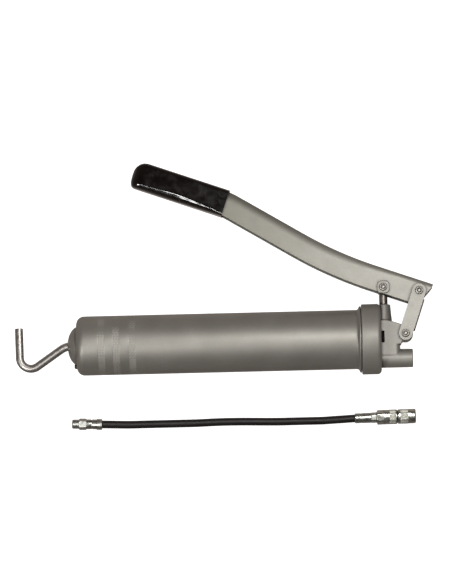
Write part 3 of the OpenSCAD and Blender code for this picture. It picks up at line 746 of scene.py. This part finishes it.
def make_head():
    rim = rounded(
        [(0, 0), (0, RIM_R, 3.8), (-RIM_W, RIM_R, 1.1), (-RIM_W, 30.5, 0.25),
         (-RIM_W + 1.6, 29.0, 0.2), (-5.4, 29.0), (-5.4, 29.3), (-5.0, 29.3),
         (-5.0, 0)], 9)
    rows = lathe_rows(rim, 192)
    rim_part = grid(rows)

    boss = grid(lathe_rows(rounded(
        [(0, 0), (0, 7.8), (18, 7.8, 20), (32.3, 6.5, 0.7), (33, 5.8, 0.5),
         (33, 0)], 6), 72))
    boss = ([(v[2] + 3.2, v[0], v[1]) for v in boss[0]], boss[1])
    bx, by = 23.6, 4.0
    lobe = [(bx + 7.2 * cos(a), by + 7.2 * sin(a))
            for a in [radians(66.7 - 176.8 * k / 20) for k in range(21)]]
    outline = rounded([(-1, 17.6), (4.6, 17.6, 2), (11, 16.3, 3)], 4) \
        + lobe + rounded([(lobe[-1][0], lobe[-1][1]), (19.3, -4.6, 1.5),
                          (19.3, -6), (-1, -6)], 4)[1:]
    bracket = prism_mesh(outline, -9, 9)
    plan = rounded([(-1, -9), (18.1, -9, 4.5), (18.1, 9, 4.5), (-1, 9)], 8)
    block = prism_mesh(plan, -16.5, -4.0)
    block = ([(v[0], v[2], v[1]) for v in block[0]], block[1])
    tube_p = grid(lathe_rows(rounded(
        [(-1, 0), (-1, 8.9), (30.3, 8.9, 0.7), (30.3, 0)], 4), 96))
    tube_p = ([(v[0], v[1] - 19, v[2]) for v in tube_p[0]], tube_p[1])
    v, f = join([boss, bracket, block, tube_p])
    cast = new_object("cast_front", v, f, Matrix.Identity(4))
    m = cast.modifiers.new("skin", "REMESH")
    m.mode, m.voxel_size, m.adaptivity = "VOXEL", 0.36, 0.0
    settle(cast)
    m = cast.modifiers.new("soften", "SMOOTH")
    m.factor, m.iterations = 0.5, 7
    settle(cast)
    I = Matrix.Identity(4)
    bore = lathe("c1", [(-15, 0), (-15, 4.05), (32.4, 4.05), (34, 4.6),
                        (34, 0)], I, 48, at=(3.2, 0, 0), axis="y")
    mouth = lathe("c2", [(12, 0), (12, 3.2), (17.2, 3.2), (17.2, 4.1),
                         (29.2, 4.3), (31, 5.8), (31, 0)], I, 64,
                  at=(0, -19, 0))
    slots = []
    for s in (-1, 1):
        v, f = prism_mesh(rounded([(0.35, -4.2, 0.4), (3.4, -4.2, 0.4),
                                   (3.4, 7.2, 0.4), (0.35, 7.2, 0.4)], 3,
                                  closed=True),
                          5.6 if s > 0 else -9.6, 9.6 if s > 0 else -5.6)
        slots.append(new_object("c3", v, f, I))
    v, f = prism_mesh([(-5, -40), (-0.6, -40), (-0.6, 40), (-5, 40)], -20, 20)
    back = new_object("c4", v, f, I)
    pin = lathe("c5", [(-12, 0), (-12, 4.3), (12, 4.3), (12, 0)], I, 64,
                at=(bx, by, 0), axis="z")
    cut(cast, bore, mouth, slots[0], slots[1], back, pin)
    # pipe thread inside the outlet
    rows, seg = [], 64
    for i in range(66):
        x = 20.3 + i * 0.137
        row = []
        for j in range(seg):
            ph = (x / 0.907 + j / seg) % 1.0
            q = 4.28 + 0.42 * abs(2 * ph - 1) - 0.1
            a = 2 * pi * j / seg
            row.append((x, -19 + q * cos(a), q * sin(a)))
        rows.append(row)
    back_rows = [[(r[0][0], -19 + 5.4 * cos(2 * pi * j / seg),
                   5.4 * sin(2 * pi * j / seg)) for j in range(seg)]
                 for r in (rows[-1], rows[0])]
    thread = grid(rows + back_rows + [rows[0]])
    whole = join([([tuple(v.co) for v in cast.data.vertices],
                   [tuple(p.vertices) for p in cast.data.polygons]),
                  rim_part, thread])
    bpy.data.objects.remove(cast)
    obj = new_object("head_cast", *whole, GUN, 35)
    back = GUN.inverted()
    # faces inside the relief pockets, which take the painted shade
    dark = []
    for p in obj.data.polygons:
        c = back @ p.center
        if 0.2 < c.x < 3.6 and -4.4 < c.y < 7.4 and 5.5 < abs(c.z) < 8.75:
            dark.append(p.index)
    return obj, dark


head, shaded_pocket_faces = make_head()
finish_piece(head, "head", "body_paint", "head_casting")
head.data.materials[0] = M["head_paint"]
# the relief pocket faces get the painted shade
head.data.materials.append(M["pocket_painted_shade"])
for k in shaded_pocket_faces:
    head.data.polygons[k].material_index = 1

# ---------------------------------------------------------------- plunger
P, F, B = (3.2, 49.2), (37.6, 45.0), (23.6, 4.0)


def make_plunger():
    stem = grid(lathe_rows(rounded(
        [(-7, 0), (-7, 3.4, 0.2), (-6.4, 4.0), (42.5, 4.0), (44.5, 3.6),
         (46, 0)], 3), 64))
    stem = ([(v[2] + P[0], v[0], v[1]) for v in stem[0]], stem[1])
    eye = grid(lathe_rows(rounded(
        [(-6, 2.55), (-6, 6, 0.5), (6, 6, 0.5), (6, 2.55)], 3)
        + [(-6, 2.55)], 64))
    eye = ([(v[1] + P[0], v[2] + P[1], v[0]) for v in eye[0]], eye[1])
    return new_object("plunger_ground", *join([stem, eye]), GUN)


finish_piece(make_plunger(), "plunger", "ground_steel", "plunger")

# ---------------------------------------------------------------- lever
H1 = radians(180 - 19.7)
BEND = radians(11.4)
H2 = H1 - BEND
TIP = Vector((51.3, 51.0))


def d2(h):
    return Vector((cos(h), sin(h)))


def inward(h):
    return Vector((-sin(h), cos(h)))


LA = TIP + 56.8 * d2(H1)
C1 = LA - 387 * inward(H1)
LB = C1 + 387 * inward(H2)
LC = LB + 73.6 * d2(H2)
C2 = LC + 60 * inward(H2)
LD = C2 - 60 * inward(H1)
REAR = 56.8 + 387 * BEND + 73.6 + 60 * BEND     # where the rear part starts


def lever_at(s):
    """Point on the lever's back and its heading, s mm from the tip."""
    if s <= 56.8:
        return TIP + s * d2(H1), H1
    s -= 56.8
    if s <= 387 * BEND:
        h = H1 - s / 387
        return C1 + 387 * inward(h), h
    s -= 387 * BEND
    if s <= 73.6:
        return LB + s * d2(H2), H2
    s -= 73.6
    if s <= 60 * BEND:
        h = H2 + s / 60
        return C2 - 60 * inward(h), h
    return LD + (s - 60 * BEND) * d2(H1), H1


FRONT_CUT = [Vector(p) for p in ((51.2, 49), (42.6, 39.5), (34.2, 32.4),
                                 (32, 20))]


def flange_depth(s):
    """How far the flanges reach under the back, s mm from the tip."""
    p, h = lever_at(s)
    n = inward(h)
    deep = 24.0
    for a, b in zip(FRONT_CUT, FRONT_CUT[1:]):
        e = b - a
        den = n.x * e.y - n.y * e.x
        if abs(den) < 1e-9:
            continue
        w = a - p
        t = (w.x * e.y - w.y * e.x) / den
        u = (w.x * n.y - w.y * n.x) / den
        if -0.02 <= u <= 1.02 and t > 0:
            deep = min(deep, t)
    under = smoothstep(REAR + 2, REAR + 70, s)
    return max(2.9, min(deep, 24.0 - 3.6 * under))


def lever_section(s):
    """Closed loop of (depth, z): outside one way, inside back."""
    deep = flange_depth(s)
    k = smoothstep(20, 130, s)
    a, b = mix(4.8, 10.0, k), mix(3.6, 5.0, k)
    if deep < a + 1:
        a = max(1.2, deep - 1.4)
        b = min(b, a * 1.1)
    half_out, half_in = [], []
    e = 0.85
    half_out.append((deep, 7.6))
    half_out += [(deep - e + e * cos(f), 9 - e + e * sin(f))
                 for f in (0, radians(30), radians(60), radians(90))]
    n = 14
    for i in range(1, 5):
        t = i / 5
        q = mix(deep - e, a, t)
        half_out.append((q, 9.0))
    for i in range(n + 1):
        f = radians(90) * i / n
        half_out.append((a - a * sin(f), 9 - b + b * cos(f)))
    half_in.append((deep - e, 7.0))
    ai, bi = max(a - 0.2, 0.4), max(b - 2.0, 0.8)
    for i in range(1, 5):
        half_in.append((mix(deep - e, 2 + ai * 0.8, i / 5), 7.0))
    for i in range(n + 1):
        f = radians(90) * i / n
        half_in.append((2 + ai * 0.8 * (1 - sin(f)), 7 - bi + bi * cos(f)))
    out = half_out + [(q, -z) for q, z in reversed(half_out)]
    back = half_in + [(q, -z) for q, z in reversed(half_in)]
    return out + list(reversed(back))


def make_lever():
    stops = [0, 0.4, 0.9, 1.5, 2.2, 3, 4, 5.5, 7, 9, 11, 12.5, 13.2, 13.8,
             14.4, 15, 16, 18, 20, 22, 23.4, 24, 24.6, 25.3, 26.2, 27.5, 29,
             32, 36, 42, 50, 56.8]
    stops += [56.8 + 387 * BEND * k / 20 for k in range(1, 21)]
    t = 56.8 + 387 * BEND
    stops += [t + 73.6 * k / 8 for k in range(1, 9)]
    t += 73.6
    stops += [t + 60 * BEND * k / 8 for k in range(1, 9)]
    stops += [REAR + 84 * k / 10 for k in range(1, 11)]
    rows = []
    for s in stops:
        p, h = lever_at(s)
        n = inward(h)
        rows.append([(p.x + q * n.x, p.y + q * n.y, z)
                     for q, z in lever_section(s)])
    verts, faces = grid(rows, cap0=True, cap1=True)
    obj = new_object("lever_pressed", verts, faces, GUN, 30)
    for c in (P, F):
        hole = lathe("h", [(-12, 0), (-12, 2.55), (12, 2.55), (12, 0)],
                     seg=32, at=(c[0], c[1], 0), axis="z")
        cut(obj, hole)
    return true_flats(obj, 30)


finish_piece(make_lever(), "lever", "lever_paint", "lever")

# ---------------------------------------------------------------- grip


def catmull(points, per):
    p = [Vector(v) for v in points]
    p = [2 * p[0] - p[1]] + p + [2 * p[-1] - p[-2]]
    out = []
    for i in range(1, len(p) - 2):
        for k in range(per):
            t = k / per
            a, b, c, d = p[i - 1:i + 3]
            out.append(0.5 * ((2 * b) + (c - a) * t
                              + (2 * a - 5 * b + 4 * c - d) * t * t
                              + (3 * b - a - 3 * c + d) * t ** 3))
    out.append(p[-2])
    return out


# Where the flange's edge shows through the sleeve, from the mouth backwards:
# distance, depth of the ridge, width of the facet under it
RIDGE = ((-4, 22.3, 0.45), (2, 21.7, 0.45), (8, 20.9, 0.4), (14, 20.3, 0.12),
         (20, 19.9, 0.3), (32, 19.1, 0.7), (43, 18.6, 1.15), (54, 18.9, 0.8),
         (64, 19.7, 0.5), (74, 20.2, 0.45), (84, 20.4, 0.45),
         (92, 20.2, 0.4))


def ridge(s):
    for (s0, a0, b0), (s1, a1, b1) in zip(RIDGE, RIDGE[1:]):
        if s <= s1 or s1 == RIDGE[-1][0]:
            t = smoothstep(s0, s1, s)
            return mix(a0, a1, t), mix(b0, b1, t)


def grip_half(s):
    """Half section (depth, z) from the middle of the back to the middle of
    the underside. The flange's edge pushes a soft ridge into the side."""
    k = smoothstep(-3.2, 74, s)
    q0, wide = ridge(s)
    rise = 0.26 * (1 - smoothstep(80, 90, s))
    low = mix(24.9, 25.1, k)
    w = 10.18
    q1 = q0 + 0.3 + wide
    w1 = w + rise - 0.10 - 0.335 * wide
    left = low - q1
    pts = [(-1.6, 0), (-1.6, 4.0), (-1.45, 6.6), (-0.7, 8.6), (0.7, 9.75),
           (2.6, 10.1), (6, w), (11, w + 0.02), (q0 - 3.0, w + 0.02),
           (q0 - 1.2, w + 0.3 * rise), (q0 - 0.25, w + 0.93 * rise),
           (q0 + 0.3, w + rise - 0.10), (q1, w1),
           (q1 + 0.34 * left, w1 - mix(0.5, 0.75, k)),
           (q1 + 0.68 * left, w1 - mix(1.5, 2.1, k)),
           (q1 + 0.91 * left, w1 - mix(3.2, 4.3, k)),
           (low - 0.02, mix(5.0, 3.0, k)), (low, 0)]
    return pts


def make_grip():
    s0, length = -3.2, 94.15
    end0 = s0 + 81.0
    stops = [s0 + (end0 - s0) * i / 46 for i in range(47)]
    R = s0 + length - end0                  # length of the rounded end
    stops += [end0 + R * sin(radians(90) * i / 22) for i in range(1, 23)]
    rows = []

    def place(s, loop):
        c = LD + s * d2(H1)
        n = inward(H1)
        return [(c.x + q * n.x, c.y + q * n.y, z) for q, z in loop]

    def section(s, grow=0.0, end=(0.0, 0.0, 0.0)):
        half = catmull(grip_half(s), 5)
        loop = [(v.x, v.y) for v in half] \
            + [(v.x, -v.y) for v in reversed(half[1:-1])]
        out = []
        for q, z in loop:
            q1 = q
            top, under, side = end
            if q < 11.7:
                q1 = q + top * 12.4 * (11.7 - q) / 13.3
            else:
                q1 = q - under * 12.4 * (q - 11.7) / 13.4
            z1 = z * (1 - 0.72 * side)
            m = (q1 - 11.7, z1)
            l = hypot(*m) or 1
            q1, z1 = 11.7 + m[0] * (1 + grow / l), z1 * (1 + grow / l)
            out.append((q1, z1))
        return out

    for i, s in enumerate(stops):
        t = max(0.0, (s - end0) / R)
        end = [1 - sqrt(max(0.0, 1 - t ** n)) for n in (2.3, 9, 3)]
        rows.append(place(s, section(s, 0.0, end)))
    cap = []
    for f in (0.82, 0.6, 0.36, 0.14):
        last = section(stops[-1], 0, (1.0, 1.0, 1.0))
        cap.append(place(stops[-1] + 0.0, [(11.7 + (q - 11.7) * f, z * f)
                                         for q, z in last]))
    rows += cap
    inner = [place(s0, section(s0, -1.15)), place(s0 + 4, section(s0, -1.2)),
             place(s0 + 80, section(30, -1.4))]
    verts, faces = grid(list(reversed(inner)) + rows, cap0=True, cap1=True)
    return new_object("grip_sleeve", verts, faces, GUN, 50)


finish_piece(make_grip(), "lever", "grip_pvc", "grip")

# ---------------------------------------------------------------- link
TURN = atan2(F[1] - B[1], F[0] - B[0])
LINK_LEN = hypot(F[0] - B[0], F[1] - B[1])


def link_matrix():
    return (GUN @ Matrix.Translation((B[0], B[1], 0))
            @ Matrix.Rotation(TURN, 4, "Z"))


def make_link():
    w, zi, zo = 6.45, 9.3, 11.3
    outline = [(LINK_LEN + w * sin(a), w * cos(a))
               for a in [pi * k / 24 for k in range(25)]]
    outline += [(-w * sin(a), -w * cos(a))
                for a in [pi * k / 24 for k in range(25)]]
    I = Matrix.Identity(4)
    parts = []
    for s in (-1, 1):
        v, f = prism_mesh(outline, s * zi, s * zo)
        parts.append(new_object("flange", v, f, I))
    # the web and its two bends, one loop in (y, z) drawn along the link
    web = rounded([(-4.4, zo), (-7.65, zo, 2.6), (-7.65, -zo, 2.6),
                   (-4.4, -zo), (-4.4, -zi), (-5.65, -zi, 0.6),
                   (-5.65, zi, 0.6), (-4.4, zi)], 7)
    u0, u1 = 6.6, 36.3
    rows = [[(u, y, z) for y, z in web] for u in (u0, u1)]
    v, f = grid(rows, cap0=True, cap1=True)
    body = new_object("web", v, f, I)
    cut(body, parts[0], parts[1], how="UNION")
    for u in (0, LINK_LEN):
        cut(body, lathe("h", [(-14, 0), (-14, 2.55), (14, 2.55), (14, 0)], I,
                        32, at=(u, 0, 0), axis="z"))
    bm = bmesh.new()
    bm.from_mesh(body.data)
    bmesh.ops.remove_doubles(bm, verts=bm.verts, dist=1e-4)
    bmesh.ops.dissolve_limit(bm, angle_limit=radians(1), verts=bm.verts,
                             edges=bm.edges)
    bm.to_mesh(body.data)
    bm.free()
    body.data.transform(link_matrix())
    bevel(body, 0.4, 3, 40)
    true_flats(body, 30)
    body.name = "link_folded"
    return body


finish_piece(make_link(), "link", "lever_paint", "link")

# ---------------------------------------------------------------- pins


def rivet(name, at, reach, body, node):
    """A pin with a head at each end: rolled ring, groove and raised middle."""
    head = [(reach, 2.52), (reach, 3.7, 0.15), (reach + 0.75, 3.7, 0.45),
            (reach + 1.3, 3.05, 0.35), (reach + 1.28, 2.5, 0.25),
            (reach + 0.5, 2.2, 0.2), (reach + 0.45, 1.75, 0.2),
            (reach + 1.1, 1.3, 0.3), (reach + 1.3, 0)]
    head = rounded(head, 4)
    profile = [(-x, r) for x, r in reversed(head)]
    profile += [(-reach, 2.42), (reach, 2.42)] + head
    obj = lathe(name, profile, seg=56, at=(at[0], at[1], 0), axis="z")
    return finish_piece(obj, body, "rivet_steel", node)


for body, pair in frame["record"]["behaviour"]["bodies"].items():
    for node, at, reach in (("plunger_pin", P, 10.2),
                            ("link_upper_pin", F, 11.3),
                            ("link_lower_pin", B, 11.3)):
        if node in pair:
            rivet(node + "_riveted", at, reach, body, node)

washers = []
for s in (-1, 1):
    ring = rounded([(9.02, 2.55), (9.02, 5.9, 0.15), (10.2, 5.9, 0.5),
                    (10.2, 2.55, 0.15)], 4, closed=True)
    rows = lathe_rows([(s * x, r) for x, r in ring + ring[:1]], 72)
    for row in rows:
        for j, (x, a, b) in enumerate(row):
            if hypot(a, b) > 5:
                l = (abs(a) ** 3.4 + abs(b) ** 3.4) ** (1 / 3.4)
                k = hypot(a, b) / l
                row[j] = (x, a * k, b * k)
    v, f = grid(rows)
    washers.append(([(p[1] + P[0], p[2] + P[1], p[0]) for p in v], f))
washer = new_object("pin_washers_pressed", *join(washers), GUN)
washer_body = next(b for b, ns in
                   frame["record"]["behaviour"]["bodies"].items()
                   if "pin_washers" in ns)
finish_piece(washer, washer_body, "lever_paint", "pin_washers")

# ---------------------------------------------------------------- rod


def make_rod():
    slope, r1, r2 = radians(34.5), 18.0, 10.8
    bend_x = -297.6
    crank, up = 27.6, 28.4
    turn = radians(89) + slope
    a = Vector((bend_x - r1 * sin(slope), -r1 * (1 - cos(slope))))
    d1 = Vector((-cos(slope), -sin(slope)))
    b = a + crank * d1
    c = b + r2 * Vector((-sin(slope), cos(slope)))
    straight = [(-13.4, 2.55), (-14.0, 3.0), (-28.85, 3.0), (-28.9, 3.95),
                (-60, 3.95), (-98.5, 3.95), (-98.65, 3.85), (-99.05, 3.25),
                (-101.55, 3.25), (-101.95, 3.85), (-102.1, 3.95),
                (-150, 3.95), (-220, 3.95), (-280, 3.95), (bend_x, 3.95)]
    path = [(x, 0.0, 0.0) for x, r in straight]
    radii = [r for x, r in straight]
    for i in range(1, 11):
        t = slope * i / 10
        path.append((bend_x - r1 * sin(t), -r1 * (1 - cos(t)), 0))
    for k in (0.25, 0.5, 0.75):
        q = a + k * crank * d1
        path.append((q.x, q.y, 0))
    for i in range(0, 25):
        t = slope - turn * i / 24
        path.append((c.x + r2 * sin(t), c.y - r2 * cos(t), 0))
    h = radians(-89)
    e = c + r2 * Vector((sin(h), -cos(h)))
    out = Vector((-cos(h), -sin(h)))
    n0 = len(path)
    ends = [(0.3, 3.95), (0.6, 3.95), (0.95, 3.95)]
    for k, r in ends:
        q = e + k * (up - 0.8) * out
        path.append((q.x, q.y, 0))
        radii_add = r
    q = e + (up - 0.35) * out
    path.append((q.x, q.y, 0))
    q = e + (up - 0.02) * out
    path.append((q.x, q.y, 0))
    radii += [3.95] * (len(path) - len(radii))
    # the bar narrows slightly at its free end
    radii[-1] = 3.5
    radii[-2] = 3.9
    return tube("follower_rod_drawn", path, radii, 48, GUN)


finish_piece(make_rod(), "rod", "rod_steel", "follower_rod")

# ---------------------------------------------------------------- stage
floor_mesh = bpy.data.meshes.new("floor")
S = 12.0
floor_mesh.from_pydata([(-S, -S, 0), (S, -S, 0), (S, S, 0), (-S, S, 0)], [],
                       [(0, 1, 2, 3)])
floor = bpy.data.objects.new("floor", floor_mesh)
scene.collection.objects.link(floor)
fm = bpy.data.materials.new("floor_white")
fm.use_nodes = True
fb = fm.node_tree.nodes["Principled BSDF"]
fb.inputs["Base Color"].default_value = (0.5, 0.5, 0.5, 1)
fb.inputs["Roughness"].default_value = 0.9
fb.inputs["Specular IOR Level"].default_value = 0.0
fb.inputs["Emission Color"].default_value = (1, 1, 1, 1)
fb.inputs["Emission Strength"].default_value = 1.0
floor_mesh.materials.append(fm)
floor.visible_diffuse = False
floor.visible_glossy = False


def area(name, at, aim, size, power, colour=(1, 1, 1)):
    data = bpy.data.lights.new(name, "AREA")
    data.shape = "RECTANGLE"
    data.size, data.size_y = size
    data.energy = power
    data.color = colour
    obj = bpy.data.objects.new(name, data)
    obj.location = at
    obj.rotation_euler = (Vector(aim) - Vector(at)).to_track_quat(
        "-Z", "Y").to_euler()
    obj.visible_camera = False
    scene.collection.objects.link(obj)
    return obj


# two lamps near the lens: low on the left, high on the right
area("left", (-0.62, -0.44, 1.15), (-0.05, -0.05, 0), (0.16, 0.80), 9.3,
     (1.0, 0.995, 0.99))
area("right", (0.26, 0.29, 1.25), (0.08, -0.03, 0), (0.20, 0.20), 10.0,
     (1.0, 0.99, 0.985))

world = bpy.data.worlds.new("room")
scene.world = world
world.use_nodes = True
wt = world.node_tree
bg = wt.nodes["Background"]
geo = wt.nodes.new("ShaderNodeTexCoord")
sep = wt.nodes.new("ShaderNodeSeparateXYZ")
wt.links.new(geo.outputs["Generated"], sep.inputs[0])


def world_math(how, a, b, c=0.0):
    m = wt.nodes.new("ShaderNodeMath")
    m.operation = how
    for k, v in enumerate((a, b, c)):
        if isinstance(v, (int, float)):
            m.inputs[k].default_value = v
        else:
            wt.links.new(v, m.inputs[k])
    return m.outputs[0]


# dark ceiling, dim walls that are lighter towards +Y, light off the table
ramp = wt.nodes.new("ShaderNodeValToRGB")
stops = ((0.0, 0.40), (0.47, 0.36), (0.53, 0.16), (0.66, 0.125),
         (0.84, 0.07), (0.95, 0.03), (1.0, 0.02))
e = ramp.color_ramp.elements
while len(e) < len(stops):
    e.new(0.5)
for item, (at, v) in zip(e, stops):
    item.position = at
    item.color = (v, 0.885 * v, 0.825 * v, 1)
wt.links.new(world_math("MULTIPLY_ADD", sep.outputs["Z"], 0.5, 0.5),
             ramp.inputs["Fac"])
wt.links.new(ramp.outputs["Color"], bg.inputs["Color"])
wt.links.new(world_math("MULTIPLY_ADD", sep.outputs["Y"], 0.36, 1.0),
             bg.inputs["Strength"])
# the camera sees a plain white backdrop
seen = wt.nodes.new("ShaderNodeBackground")
seen.inputs["Color"].default_value = (1, 1, 1, 1)
seen.inputs["Strength"].default_value = 1.0
path = wt.nodes.new("ShaderNodeLightPath")
both = wt.nodes.new("ShaderNodeMixShader")
wt.links.new(path.outputs["Is Camera Ray"], both.inputs["Fac"])
wt.links.new(bg.outputs[0], both.inputs[1])
wt.links.new(seen.outputs[0], both.inputs[2])
wt.links.new(both.outputs[0], wt.nodes["World Output"].inputs["Surface"])
scene.view_settings.view_transform = "Standard"
